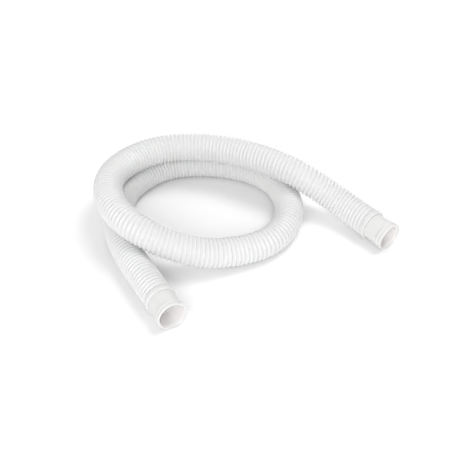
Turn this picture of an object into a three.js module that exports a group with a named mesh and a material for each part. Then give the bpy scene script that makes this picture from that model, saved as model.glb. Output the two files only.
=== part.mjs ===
// Vacuum hose for a small pool or spa: a corrugated white hose lying in one loose loop,
// with a swivelling cuff on each end. Millimetres, +Z up, floor at z = 0, both mouths
// pointing towards -Y.
import * as THREE from 'three';

// ---- Hose -----------------------------------------------------------------------
const RIB_RADIUS = 20;            // outside of the corrugations
const HOSE_VERTEX_RADIUS = 19.7;  // corners of the plain tube that stands for them
const HOSE_BORE_RADIUS = 18;      // corners of its bore, which gives the real hose's weight
const HOSE_SIDES = 12;
const HOSE_STEPS = 72;

// ---- End fittings: u runs out along the fitting's axis from the hose's cut end -----
const GAP = 0.3;                  // between pieces that touch
const WATERWAY = 13;              // radius of the way through the bush
const BUSH_SPIGOT_RADIUS = 16.9;  // threaded spigot, bonded into the hose
const BUSH_SPIGOT_LENGTH = 22;
const COLLAR_RADIUS = 20.4;       // visible shoulder that the hose butts against
const COLLAR_END = 7.2;
const JOURNAL_RADIUS = 14.6;      // the cuff turns on this
const JOURNAL_END = 14.5;
const RECESS_RADIUS = 17.2;       // seat of the sealing washer
const RECESS_DEPTH = 1.5;
const CUFF_START = 7.6;
const CUFF_END = 37.5;
const CUFF_BORE = 16.5;           // takes a 32 mm tail
const CUFF_NECK_RADIUS = 17.7;
const CUFF_FLANGE_BORE = 15;      // running clearance on the journal
const CUFF_FLANGE_END = 11;
const LIP_RADIUS = 19.5;
const LIP_START = 28;
const RING_OUTER = 16.1;          // retaining ring, wider than the flange's bore
const RING_START = 11.4;
const RING_END = 13.8;
const TURN_SEGMENTS = 32;

// ---- Route of the hose's centre line, from the right end to the left ---------------
// Its first two and last two points give the directions of the ends, which the bushes carry on.
const ROUTE = [
  [155, -129, 22.4], [153, -106.5, 24.1], [149.5, -84, 27.2],       // right end, nose on the floor
  [138, -57, 38.5], [118.5, -25, 56], [99.5, 19, 62.5],             // up onto the lower turn
  [80, 65, 60.5], [54, 101, 59.5], [22.5, 127, 59.5], [-12, 141, 60], [-49, 143.5, 60],
  [-84, 134, 60], [-111, 112, 60], [-128, 79, 60], [-134, 41, 60], [-128, 4, 57.5],
  [-103.5, -31.5, 44], [-66, -57, 29.5], [-22, -72, 22],            // down to the floor in front
  [22, -78.5, 20.2], [69, -60, 20], [100, -22, 20], [112, 30, 20],
  [94, 80, 20], [56, 121, 20], [12, 145.5, 20], [-32, 147, 20],     // lower turn, on the floor
  [-72, 131.5, 20], [-101.5, 104.5, 20], [-123, 73, 20], [-136, 38, 20], [-144, 2, 20.2],
  [-150, -39, 20.9], [-152.5, -61, 20.7], [-155, -83, 20.5],        // left end
].map(([x, y, z]) => new THREE.Vector3(x, y, z));

const HOSE_PLASTIC = new THREE.MeshStandardMaterial({ color: 0xe8e8e6, roughness: 0.42, metalness: 0 });
const CUFF_PLASTIC = new THREE.MeshStandardMaterial({ color: 0xeeedea, roughness: 0.34, metalness: 0 });
const RING_PLASTIC = new THREE.MeshStandardMaterial({ color: 0xd9d9d6, roughness: 0.5, metalness: 0 });
const SEAL_RUBBER = new THREE.MeshStandardMaterial({ color: 0x3b3c3e, roughness: 0.8, metalness: 0 });

function namedMesh(name, geometry, material) {
  const mesh = new THREE.Mesh(geometry, material);
  mesh.name = name;
  return mesh;
}

// A ring of corner points for the hose's section, as the outside or the bore.
function sectionRing(radius) {
  return Array.from({ length: HOSE_SIDES }, (_, i) => {
    const angle = (2 * Math.PI * i) / HOSE_SIDES;
    return new THREE.Vector2(radius * Math.cos(angle), radius * Math.sin(angle));
  });
}

function hoseWall() {
  const section = new THREE.Shape(sectionRing(HOSE_VERTEX_RADIUS));
  section.holes.push(new THREE.Path(sectionRing(HOSE_BORE_RADIUS)));
  const extrudePath = new THREE.CatmullRomCurve3(ROUTE, false, 'catmullrom', 0.5);
  const geometry = new THREE.ExtrudeGeometry(section, { steps: HOSE_STEPS, extrudePath });
  return namedMesh('hose_wall', geometry, HOSE_PLASTIC);
}

// Turns a closed outline of [u, radius] points about the fitting's axis. The outlines start
// along the bore, and a lathe wants them the other way round to face outwards.
function turned(name, outline, material) {
  const points = [...outline, outline[0]].map(([u, radius]) => new THREE.Vector2(radius, u)).reverse();
  return namedMesh(name, new THREE.LatheGeometry(points, TURN_SEGMENTS), material);
}

// Bush: a spigot bonded inside the hose, the shoulder it butts against, and the journal.
function bush(side) {
  const recessFloor = COLLAR_END - RECESS_DEPTH;
  return turned(`${side}_hose_bush`, [
    [-BUSH_SPIGOT_LENGTH, WATERWAY + 1.8], [-BUSH_SPIGOT_LENGTH + 2, WATERWAY],
    [JOURNAL_END, WATERWAY], [JOURNAL_END, JOURNAL_RADIUS],
    [recessFloor, JOURNAL_RADIUS], [recessFloor, RECESS_RADIUS],
    [COLLAR_END, RECESS_RADIUS], [COLLAR_END, COLLAR_RADIUS - 1.8],
    [COLLAR_END - 0.6, COLLAR_RADIUS - 0.7], [COLLAR_END - 1.8, COLLAR_RADIUS],
    [GAP + 0.5, COLLAR_RADIUS], [GAP, COLLAR_RADIUS - 0.5],
    [GAP, BUSH_SPIGOT_RADIUS], [-BUSH_SPIGOT_LENGTH + 1, BUSH_SPIGOT_RADIUS],
    [-BUSH_SPIGOT_LENGTH, BUSH_SPIGOT_RADIUS - 0.8],
  ], CUFF_PLASTIC);
}

// Cuff: an inner flange that turns on the journal, a smooth neck and a double-ringed lip.
function swivelCuff(side) {
  return turned(`${side}_swivel_cuff`, [
    [CUFF_START, CUFF_FLANGE_BORE], [CUFF_FLANGE_END, CUFF_FLANGE_BORE],
    [CUFF_FLANGE_END, CUFF_BORE], [CUFF_END - 1, CUFF_BORE],
    [CUFF_END, CUFF_BORE + 0.7], [CUFF_END, LIP_RADIUS - 1],
    [CUFF_END - 0.8, LIP_RADIUS], [LIP_START + 5.3, LIP_RADIUS],
    [LIP_START + 4.8, LIP_RADIUS - 0.6], [LIP_START + 4.2, LIP_RADIUS - 0.6],
    [LIP_START + 3.7, LIP_RADIUS], [LIP_START + 1, LIP_RADIUS],
    [LIP_START, CUFF_NECK_RADIUS + 0.6], [CUFF_START + 0.4, CUFF_NECK_RADIUS],
    [CUFF_START, CUFF_NECK_RADIUS - 0.4],
  ], CUFF_PLASTIC);
}

function retainingRing(side) {
  return turned(`${side}_retaining_ring`, [
    [RING_START, CUFF_FLANGE_BORE], [RING_END, CUFF_FLANGE_BORE],
    [RING_END, RING_OUTER], [RING_START, RING_OUTER],
  ], RING_PLASTIC);
}

function swivelWasher(side) {
  const start = COLLAR_END - RECESS_DEPTH + GAP;
  const end = CUFF_START - GAP;
  return turned(`${side}_swivel_washer`, [
    [start, CUFF_FLANGE_BORE], [end, CUFF_FLANGE_BORE],
    [end, RECESS_RADIUS - 0.4], [start, RECESS_RADIUS - 0.4],
  ], SEAL_RUBBER);
}

// One end's fitting, with its axis carrying on straight out of the hose.
function endFitting(side, end, inner) {
  const fitting = new THREE.Group();
  const outward = end.clone().sub(inner).normalize();
  fitting.quaternion.setFromUnitVectors(new THREE.Vector3(0, 1, 0), outward);
  fitting.position.copy(end);
  fitting.add(bush(side), swivelWasher(side), retainingRing(side), swivelCuff(side));
  return fitting;
}

const vacuumHose = new THREE.Group();
vacuumHose.add(
  hoseWall(),
  endFitting('right', ROUTE[0], ROUTE[1]),
  endFitting('left', ROUTE[ROUTE.length - 1], ROUTE[ROUTE.length - 2]),
);

export default vacuumHose;
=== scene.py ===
"""A white corrugated vacuum hose lying in one loose loop, with a swivelling cuff on each end.

Metres, +Z up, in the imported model's frame, with the floor at z = 0. The hose wall, the bushes,
the cuffs, the washers and the retaining rings are all modelled here at their fine shape, and
each one rides on the CAD body of the node that it stands for.
"""
import math

import bmesh
import bpy
import numpy as np
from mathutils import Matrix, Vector


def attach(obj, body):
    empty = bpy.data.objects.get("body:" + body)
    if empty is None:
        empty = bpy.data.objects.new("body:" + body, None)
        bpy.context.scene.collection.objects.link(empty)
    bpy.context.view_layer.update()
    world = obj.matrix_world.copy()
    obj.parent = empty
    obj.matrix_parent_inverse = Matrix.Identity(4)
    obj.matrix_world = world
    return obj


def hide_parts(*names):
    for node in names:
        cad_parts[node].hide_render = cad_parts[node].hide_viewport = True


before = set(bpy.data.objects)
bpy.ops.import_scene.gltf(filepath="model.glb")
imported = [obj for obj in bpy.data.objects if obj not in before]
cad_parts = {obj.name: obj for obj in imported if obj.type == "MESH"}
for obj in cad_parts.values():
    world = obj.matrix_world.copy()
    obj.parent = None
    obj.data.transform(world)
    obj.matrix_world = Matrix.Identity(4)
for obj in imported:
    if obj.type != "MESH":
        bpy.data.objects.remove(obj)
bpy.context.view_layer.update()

# ---- Camera ----------------------------------------------------------------------------
CAMERA_AIM = Vector((0.0098, 0.0048, 0.0))
CAMERA_AZIMUTH = -36      # degrees round from -Y
CAMERA_ELEVATION = 39     # degrees up
CAMERA_DISTANCE = 1.218
CAMERA_LENS = 69.6
CAMERA_SENSOR = 36

# ---- Hose ------------------------------------------------------------------------------
# The route of its centre line, from the right end to the left, as in the CAD source.
ROUTE = [
    (0.155, -0.129, 0.0224), (0.153, -0.1065, 0.0241), (0.1495, -0.084, 0.0272),
    (0.138, -0.057, 0.0385), (0.1185, -0.025, 0.056), (0.0995, 0.019, 0.0625),
    (0.080, 0.065, 0.0605), (0.054, 0.101, 0.0595), (0.0225, 0.127, 0.0595),
    (-0.012, 0.141, 0.060), (-0.049, 0.1435, 0.060), (-0.084, 0.134, 0.060),
    (-0.111, 0.112, 0.060), (-0.128, 0.079, 0.060), (-0.134, 0.041, 0.060),
    (-0.128, 0.004, 0.0575), (-0.1035, -0.0315, 0.044), (-0.066, -0.057, 0.0295),
    (-0.022, -0.072, 0.022), (0.022, -0.0785, 0.0202), (0.069, -0.060, 0.020),
    (0.100, -0.022, 0.020), (0.112, 0.030, 0.020), (0.094, 0.080, 0.020),
    (0.056, 0.121, 0.020), (0.012, 0.1455, 0.020), (-0.032, 0.147, 0.020),
    (-0.072, 0.1315, 0.020), (-0.1015, 0.1045, 0.020), (-0.123, 0.073, 0.020),
    (-0.136, 0.038, 0.020), (-0.144, 0.002, 0.0202), (-0.150, -0.039, 0.0209),
    (-0.1525, -0.061, 0.0207), (-0.155, -0.083, 0.0205),
]
ROUTE_STEPS = 48          # samples between two points of the route
ROUTE_SPACING = 0.001     # between the samples of the final centre line
ROUTE_SOFTNESS = 0.014    # how far the smoothing of its curvature reaches
HOSE_DIAMETER = 0.040
RIB_PITCH = 0.00575
RIB_HEIGHT = 0.0018
RIB_POINTS = 10           # along the wall, from one rib to the next
WEB_RADIUS = HOSE_DIAMETER / 2 - RIB_HEIGHT
HOSE_SIDES = 36
HOSE_SHARP_ABOVE = 60     # degrees between two faces, for an edge to be drawn sharp
BORE_RADIUS = 0.0170
BORE_STEP = 0.009         # from one ring of points to the next, along the bore

# ---- Fittings: outlines of (u, radius, rounding) in mm, u out from the hose's cut end ----
MM = 0.001
TURN_SIDES = 96
TURN_SHARP_ABOVE = 40     # degrees
ARC_POINTS = 5            # in each rounded corner of a turned outline
INSIDE_RADIUS = 16.9      # a fitting's points within this are marked as inside
ENDS = {"right": (ROUTE[0], ROUTE[1]), "left": (ROUTE[-1], ROUTE[-2])}
BUSH = [  # spigot inside the hose, collar that the hose butts against, journal inside the cuff
    (-22, 14.8, 0.4), (-20, 13, 0.8), (14.5, 13, 0.4), (14.5, 14.6, 0.4),
    (5.7, 14.6, 0), (5.7, 17.2, 0), (7.2, 17.2, 0.2), (7.2, 20.4, 1.9),
    (0.3, 20.4, 0.7), (0.3, 16.9, 0), (-22, 16.9, 0.7),
]
WASHER = [(6, 15, 0.3), (7.3, 15, 0.3), (7.3, 16.8, 0.3), (6, 16.8, 0.3)]
RING = [(11.4, 15, 0.2), (13.8, 15, 0.2), (13.8, 16.1, 0.2), (11.4, 16.1, 0.2)]
RING_GAP = math.radians(24)
CUFF = [  # flange on the journal, bore, then back along the double-ringed lip and the neck
    (7.35, 15, 0.2), (11, 15, 0.2), (11, 16.5, 0.3), (35, 16.5, 1.5), (37.5, 17.4, 0.5),
    (37.5, 19.5, 0.9), (33.4, 19.5, 0.35), (33, 18.9, 0.3), (32, 18.9, 0.3), (31.6, 19.5, 0.35),
    (28.8, 19.5, 0.9), (28, 18.5, 0.6), (17, 17.6, 7), (7.35, 18.3, 0.4),
]

# ---- Floor, and light as shares of a full white on it ------------------------------------
FLOOR_REACH = 6.0
FLOOR_COLOR = (0.96, 0.96, 0.96)
AMBIENT = 0.54
SOFTBOXES = [  # name, degrees round from the camera, degrees up, side in metres, share
    ("front_softbox", -10, 28, 1.6, 0.28),
    ("key_softbox", 110, 68, 1.2, 0.32),
    ("back_softbox", 180, 20, 1.0, 0.08),
]
SOFTBOX_DISTANCE = 2.5


# ---- Geometry helpers --------------------------------------------------------------------
def catmull_rom(points, steps):
    """The CAD tube's own curve: a uniform Catmull-Rom spline through the points."""
    p = np.array(points)
    p = np.vstack([2 * p[0] - p[1], p, 2 * p[-1] - p[-2]])
    t = np.linspace(0, 1, steps, endpoint=False)[:, None]
    spans = [
        0.5 * (2 * b + (c - a) * t + (2 * a - 5 * b + 4 * c - d) * t**2
               + (3 * b - a - 3 * c + d) * t**3)
        for a, b, c, d in zip(p, p[1:], p[2:], p[3:])
    ]
    return np.vstack([*spans, p[-2]])


def evenly_spaced(line, spacing):
    """The same line with points at even distances along it."""
    along = np.concatenate([[0], np.cumsum(np.linalg.norm(np.diff(line, axis=0), axis=1))])
    wanted = np.linspace(0, along[-1], round(along[-1] / spacing) + 1)
    return np.stack([np.interp(wanted, along, line[:, i]) for i in range(3)], axis=1)


def softened(line, reach):
    """Evens out the curvature with a bell-shaped average. The ends and their directions stay."""
    half = int(3 * reach / ROUTE_SPACING)
    bell = np.exp(-0.5 * (np.arange(-half, half + 1) * ROUTE_SPACING / reach) ** 2)
    bell /= bell.sum()
    before = 2 * line[0] - line[half:0:-1]
    after = 2 * line[-1] - line[-2:-half - 2:-1]
    longer = np.vstack([before, line, after])
    return np.stack([np.convolve(longer[:, i], bell, "valid") for i in range(3)], axis=1)


def carried_frames(line):
    """Unit tangents, and two normals that are carried along the line without twisting."""
    tangents = np.gradient(line, axis=0)
    tangents /= np.linalg.norm(tangents, axis=1)[:, None]
    normals = np.zeros_like(line)
    normal = np.array([0.0, 0.0, 1.0])
    for i, tangent in enumerate(tangents):
        normal = normal - (normal @ tangent) * tangent
        normal /= np.linalg.norm(normal)
        normals[i] = normal
    return tangents, normals, np.cross(tangents, normals)


class CentreLine:
    """The hose's centre line, to place points by distance along it, angle and radius."""

    def __init__(self, route):
        line = evenly_spaced(catmull_rom(route, ROUTE_STEPS), ROUTE_SPACING)
        self.points = evenly_spaced(softened(line, ROUTE_SOFTNESS), ROUTE_SPACING)
        self.tangents, self.normals, self.binormals = carried_frames(self.points)
        steps = np.linalg.norm(np.diff(self.points, axis=0), axis=1)
        self.along = np.concatenate([[0], np.cumsum(steps)])
        self.length = self.along[-1]

    def at(self, values, distance):
        return np.stack([np.interp(distance, self.along, values[:, i]) for i in range(3)], axis=-1)

    def place(self, distance, angle, radius):
        side = (self.at(self.normals, distance) * np.cos(angle)[..., None]
                + self.at(self.binormals, distance) * np.sin(angle)[..., None])
        side /= np.linalg.norm(side, axis=-1)[..., None]
        radius = np.broadcast_to(radius, angle.shape)
        return self.at(self.points, distance) + side * radius[..., None]


def add_piece(name, vertices, faces, sharp_above, marks):
    """A smooth-shaded mesh, its coincident points merged, with numbers marked on its points."""
    mesh = bpy.data.meshes.new(name)
    mesh.from_pydata(vertices, [], faces)
    for mark, values in marks.items():
        mesh.attributes.new(mark, "FLOAT", "POINT").data.foreach_set("value", values)
    work = bmesh.new()
    work.from_mesh(mesh)
    bmesh.ops.remove_doubles(work, verts=work.verts, dist=1e-6)
    bmesh.ops.recalc_face_normals(work, faces=work.faces)
    work.to_mesh(mesh)
    work.free()
    mesh.shade_smooth()
    mesh.set_sharp_from_angle(angle=math.radians(sharp_above))
    piece = bpy.data.objects.new(name, mesh)
    bpy.context.scene.collection.objects.link(piece)
    return piece


def rounded(corners):
    """A closed outline with a curve in place of each corner, starting its rounding away."""
    points = []
    for i, (u, radius, rounding) in enumerate(corners):
        corner = np.array([u, radius])
        if rounding == 0:
            points.append(corner)
            continue
        starts = []
        for neighbour in (corners[i - 1], corners[(i + 1) % len(corners)]):
            along = np.array(neighbour[:2]) - corner
            starts.append(corner + along / np.linalg.norm(along) * rounding)
        for t in np.linspace(0, 1, ARC_POINTS):
            points.append((1 - t)**2 * starts[0] + 2 * t * (1 - t) * corner + t**2 * starts[1])
    return points


def turned(name, side, corners, gap=0.0):
    """Turns an outline about a fitting's axis, all the way round or leaving a gap."""
    end, inner = (Vector(point) for point in ENDS[side])
    along = (end - inner).normalized().to_track_quat("Z", "Y")
    outline = rounded(corners)
    count = len(outline)
    stops = TURN_SIDES + 1 if gap else TURN_SIDES
    angles = [gap / 2 + (2 * math.pi - gap) * i / TURN_SIDES for i in range(stops)]
    vertices = [end + along @ Vector((radius * math.cos(angle), radius * math.sin(angle), u)) * MM
                for angle in angles for u, radius in outline]
    faces = []
    for i in range(TURN_SIDES):
        this, following = i * count, (i + 1) % stops * count
        for j in range(count):
            k = (j + 1) % count
            faces.append([this + j, this + k, following + k, following + j])
    if gap:
        faces.append(range(count))
        faces.append(range(TURN_SIDES * count, stops * count))
    inside = [float(radius < INSIDE_RADIUS) for u, radius in outline] * stops
    return add_piece(name, vertices, faces, TURN_SHARP_ABOVE, {"inside": inside})


def direction(azimuth, elevation):
    """The unit vector that points this many degrees round from -Y, and up."""
    azimuth, elevation = math.radians(azimuth), math.radians(elevation)
    return Vector((math.sin(azimuth) * math.cos(elevation),
                   -math.cos(azimuth) * math.cos(elevation), math.sin(elevation)))


def add_aimed(name, data, target, towards, distance):
    """A camera or a lamp that looks at the target from this far away."""
    aimed = bpy.data.objects.new(name, data)
    aimed.location = target + towards * distance
    aimed.rotation_mode = "QUATERNION"
    aimed.rotation_quaternion = (-towards).to_track_quat("-Z", "Y")
    bpy.context.scene.collection.objects.link(aimed)
    return aimed


# ---- Camera and hose, which come first ---------------------------------------------------
def make_camera():
    data = bpy.data.cameras.new("camera")
    data.lens, data.sensor_width = CAMERA_LENS, CAMERA_SENSOR
    towards = direction(CAMERA_AZIMUTH, CAMERA_ELEVATION)
    camera = add_aimed("camera", data, CAMERA_AIM, towards, CAMERA_DISTANCE)
    bpy.context.scene.camera = camera


def rib_outline():
    """One pitch of the wall, a soft wave, as (distance from the rib's middle, radius)."""
    turn = np.linspace(0, 1, RIB_POINTS, endpoint=False)
    rise = 0.5 + 0.5 * np.cos(2 * math.pi * turn)
    return np.stack([turn * RIB_PITCH, WEB_RADIUS + RIB_HEIGHT * rise], axis=1)


def wound_wall(line):
    """The wall's outside, one rib wound round as a helix: points, faces, and each point's rise."""
    outline = rib_outline()
    rows = len(outline)
    columns = np.arange(-HOSE_SIDES, math.ceil(line.length / RIB_PITCH + 1) * HOSE_SIDES + 1)
    turn = columns[:, None] / HOSE_SIDES
    distance = turn * RIB_PITCH + outline[:, 0]
    radius = np.broadcast_to(outline[:, 1], distance.shape).copy()
    radius[(distance <= 0) | (distance >= line.length)] = WEB_RADIUS
    distance = np.clip(distance, 0, line.length)
    angle = np.broadcast_to(2 * math.pi * turn, distance.shape)
    points = line.place(distance, angle, radius).reshape(-1, 3)

    def index(column, row):
        return (column + row // rows * HOSE_SIDES) * rows + row % rows

    faces = []
    for column in range(len(columns) - HOSE_SIDES - 1):
        for row in range(rows):
            corners = [index(column, row), index(column, row + 1),
                       index(column + 1, row + 1), index(column + 1, row)]
            if np.ptp(distance.flat[corners]) > 0:
                faces.append(corners)
    return points, faces, (radius.ravel() - WEB_RADIUS) / RIB_HEIGHT


def bore_and_ends(line, first):
    """The plain bore, and a flat ring round it at each end. Its points count up from first."""
    distances = np.linspace(0, line.length, round(line.length / BORE_STEP) + 1)
    angles = 2 * math.pi * np.arange(HOSE_SIDES) / HOSE_SIDES
    grid = np.broadcast_to(distances[:, None], (len(distances), HOSE_SIDES))
    bore = line.place(grid, np.broadcast_to(angles, grid.shape), BORE_RADIUS)
    rims = [line.place(np.full(HOSE_SIDES, end), angles, WEB_RADIUS) for end in (0, line.length)]

    last = len(distances) - 1
    joined = [(ring, ring + 1) for ring in range(last)] + [(0, last + 1), (last, last + 2)]
    faces = []
    for ring, following in joined:
        a, b = first + ring * HOSE_SIDES, first + following * HOSE_SIDES
        for i in range(HOSE_SIDES):
            j = (i + 1) % HOSE_SIDES
            faces.append([a + i, a + j, b + j, b + i])
    return np.vstack([bore.reshape(-1, 3), *rims]), faces


def make_hose(line):
    """The ribbed wall over its bore."""
    outside, outside_faces, rise = wound_wall(line)
    inside, inside_faces = bore_and_ends(line, len(outside))
    vertices = np.vstack([outside, inside]).tolist()
    rib = np.concatenate([rise, np.zeros(len(inside))])
    return add_piece("corrugated_hose", vertices, outside_faces + inside_faces,
                     HOSE_SHARP_ABOVE, {"rib": rib})


make_camera()
centre_line = CentreLine(ROUTE)
hose = make_hose(centre_line)
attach(hose, "hose")
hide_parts("hose_wall")


# ---- Materials ---------------------------------------------------------------------------
NOISE_SPAN = (0.3, 0.7)   # nearly all of a noise texture's values


class Plastic:
    """A Principled material, with the few nodes that vary it over the surface."""

    def __init__(self, name, color, roughness, subsurface, scale):
        self.material = bpy.data.materials.new(name)
        self.material.use_nodes = True
        self.nodes = self.material.node_tree.nodes
        self.links = self.material.node_tree.links
        self.shader = self.nodes["Principled BSDF"]
        self.set("Base Color", (*color, 1))
        self.set("Roughness", roughness)
        self.set("Subsurface Weight", subsurface)
        self.set("Subsurface Radius", (1.0, 0.97, 0.94))
        self.set("Subsurface Scale", scale)
        self.place = self.nodes.new("ShaderNodeTexCoord").outputs["Object"]

    def set(self, socket, value):
        self.shader.inputs[socket].default_value = value

    def noise(self, size, detail=2):
        """Noise with features of about this size in metres."""
        node = self.nodes.new("ShaderNodeTexNoise")
        node.inputs["Scale"].default_value = 1 / size
        node.inputs["Detail"].default_value = detail
        self.links.new(self.place, node.inputs["Vector"])
        return node.outputs["Fac"]

    def mark(self, name):
        """The number that add_piece marked on the points under this name."""
        node = self.nodes.new("ShaderNodeAttribute")
        node.attribute_name = name
        return node.outputs["Fac"]

    def vary_roughness(self, source, low, high):
        """Lets the roughness follow a noise between these two values."""
        node = self.nodes.new("ShaderNodeMapRange")
        node.inputs["From Min"].default_value = NOISE_SPAN[0]
        node.inputs["From Max"].default_value = NOISE_SPAN[1]
        node.inputs["To Min"].default_value = low
        node.inputs["To Max"].default_value = high
        self.links.new(source, node.inputs["Value"])
        self.links.new(node.outputs["Result"], self.shader.inputs["Roughness"])

    def tint(self, source, low, high, color):
        """Blends the colour so far towards this one as the source goes from low to high."""
        amount = self.nodes.new("ShaderNodeMapRange")
        amount.inputs["From Min"].default_value = low
        amount.inputs["From Max"].default_value = high
        self.links.new(source, amount.inputs["Value"])
        mix = self.nodes.new("ShaderNodeMix")
        mix.data_type = "RGBA"
        base = self.shader.inputs["Base Color"]
        if base.links:
            self.links.new(base.links[0].from_socket, mix.inputs["A"])
        else:
            mix.inputs["A"].default_value = base.default_value
        mix.inputs["B"].default_value = (*color, 1)
        self.links.new(amount.outputs["Result"], mix.inputs["Factor"])
        self.links.new(mix.outputs["Result"], base)

    def bump(self, source, height):
        """Raises the surface by up to this height in metres."""
        node = self.nodes.new("ShaderNodeBump")
        node.inputs["Distance"].default_value = height
        self.links.new(source, node.inputs["Height"])
        self.links.new(node.outputs["Normal"], self.shader.inputs["Normal"])


def hose_plastic():
    """Soft white EVA: satin, and a little translucent. Its webs are painted a touch lighter than
    its crests: painted light that evens out the shade in the webs and the light on the crests.
    """
    plastic = Plastic("hose_plastic", color=(0.74, 0.74, 0.74), roughness=0.50,
                      subsurface=0.8, scale=0.0025)
    # Painted light: the crests are painted darker and the webs lighter, to even out the shade
    # between the ribs.
    plastic.tint(plastic.mark("rib"), 0.0, 1.0, color=(0.72, 0.72, 0.72))
    plastic.tint(plastic.noise(size=0.040), 0.45, 1.2, color=(0.69, 0.69, 0.685))
    plastic.vary_roughness(plastic.noise(size=0.006, detail=4), low=0.36, high=0.50)
    plastic.bump(plastic.noise(size=0.0016, detail=3), height=0.00002)
    return plastic.material


def cuff_plastic():
    """Harder white plastic with a smoother moulded face. Its inside is painted lighter, painted
    light that lifts the shade in the bore, and faintly pink.
    """
    plastic = Plastic("cuff_plastic", color=(0.72, 0.72, 0.715), roughness=0.45,
                      subsurface=0.7, scale=0.002)
    plastic.tint(plastic.noise(size=0.030), 0.45, 0.75, color=(0.70, 0.70, 0.695))
    # Painted light: the inside is painted lighter than the outside, to lift the shade in the bore.
    # The tint is also faintly pink.
    plastic.tint(plastic.mark("inside"), 0.0, 1.0, color=(0.87, 0.85, 0.85))
    plastic.vary_roughness(plastic.noise(size=0.004, detail=4), low=0.40, high=0.52)
    plastic.bump(plastic.noise(size=0.0009, detail=3), height=0.00002)
    return plastic.material


def ring_plastic():
    """Acetal of the split rings, a shade greyer and duller than the cuffs."""
    plastic = Plastic("ring_plastic", color=(0.70, 0.70, 0.69), roughness=0.5,
                      subsurface=0.3, scale=0.003)
    plastic.vary_roughness(plastic.noise(size=0.003, detail=3), low=0.42, high=0.58)
    plastic.bump(plastic.noise(size=0.0006), height=0.00002)
    return plastic.material


def seal_rubber():
    """Dark matt rubber of the washers, with a fine bloom on it."""
    rubber = Plastic("seal_rubber", color=(0.045, 0.046, 0.05), roughness=0.8,
                     subsurface=0.0, scale=0.001)
    rubber.tint(rubber.noise(size=0.004, detail=4), 0.5, 0.8, color=(0.09, 0.09, 0.09))
    rubber.vary_roughness(rubber.noise(size=0.002, detail=3), low=0.7, high=0.9)
    rubber.bump(rubber.noise(size=0.0005), height=0.00003)
    return rubber.material


# ---- Fittings ----------------------------------------------------------------------------
hose.data.materials.append(hose_plastic())
FINISHES = {"cuff": cuff_plastic(), "seal": seal_rubber(), "ring": ring_plastic()}
FITTINGS = [  # piece, its outline and gap, the CAD node that it replaces, and its slot
    ("collar_bush", BUSH, 0.0, "hose_bush", "cuff"),
    ("seal_washer", WASHER, 0.0, "swivel_washer", "seal"),
    ("split_ring", RING, RING_GAP, "retaining_ring", "ring"),
    ("end_cuff", CUFF, 0.0, "swivel_cuff", "cuff"),
]


def make_fittings(side):
    """One end's four pieces. The cuff rides on its own body, and the rest on the hose."""
    pieces = []
    for piece_name, outline, gap, node, slot in FITTINGS:
        piece = turned(f"{side}_{piece_name}", side, outline, gap)
        piece.data.materials.append(FINISHES[slot])
        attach(piece, f"{side}_cuff" if node == "swivel_cuff" else "hose")
        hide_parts(f"{side}_{node}")
        pieces.append(piece)
    return pieces


fittings = make_fittings("right") + make_fittings("left")


# ---- Stage -------------------------------------------------------------------------------
def make_stage():
    """A wide white floor under the hose."""
    corners = [(-1, -1, 0), (1, -1, 0), (1, 1, 0), (-1, 1, 0)]
    floor_mesh = bpy.data.meshes.new("floor")
    floor_mesh.from_pydata([Vector(corner) * FLOOR_REACH for corner in corners],
                           [], [(0, 1, 2, 3)])
    floor = bpy.data.objects.new("floor", floor_mesh)
    bpy.context.scene.collection.objects.link(floor)
    material = bpy.data.materials.new("floor_white")
    material.use_nodes = True
    shader = material.node_tree.nodes["Principled BSDF"]
    shader.inputs["Base Color"].default_value = (*FLOOR_COLOR, 1)
    shader.inputs["Roughness"].default_value = 0.9
    shader.inputs["Specular IOR Level"].default_value = 0.1
    floor_mesh.materials.append(material)


def make_world():
    """White to the camera, and a weaker even light from all round on the object."""
    world = bpy.data.worlds.new("studio")
    bpy.context.scene.world = world
    world.use_nodes = True
    nodes, links = world.node_tree.nodes, world.node_tree.links
    nodes["Background"].inputs["Color"].default_value = (1, 1, 1, 1)
    nodes["Background"].inputs["Strength"].default_value = AMBIENT
    seen = nodes.new("ShaderNodeBackground")
    seen.inputs["Color"].default_value = (1, 1, 1, 1)
    path = nodes.new("ShaderNodeLightPath")
    mix = nodes.new("ShaderNodeMixShader")
    links.new(path.outputs["Is Camera Ray"], mix.inputs["Fac"])
    links.new(nodes["Background"].outputs["Background"], mix.inputs[1])
    links.new(seen.outputs["Background"], mix.inputs[2])
    links.new(mix.outputs["Shader"], nodes["World Output"].inputs["Surface"])


def add_softbox(name, azimuth, elevation, size, share):
    """An area light aimed at the origin, where it gives the open floor this share of full white."""
    data = bpy.data.lights.new(name, "AREA")
    data.size = size
    # A lamp of power P lights a facing surface at distance d with P / (pi d^2).
    steepness = math.sin(math.radians(elevation))
    data.energy = share * math.pi**2 * SOFTBOX_DISTANCE**2 / steepness
    towards = direction(CAMERA_AZIMUTH + azimuth, elevation)
    lamp = add_aimed(name, data, Vector(), towards, SOFTBOX_DISTANCE)
    lamp.visible_camera = False


make_stage()
make_world()
for softbox in SOFTBOXES:
    add_softbox(*softbox)
bpy.context.scene.view_settings.view_transform = "Standard"
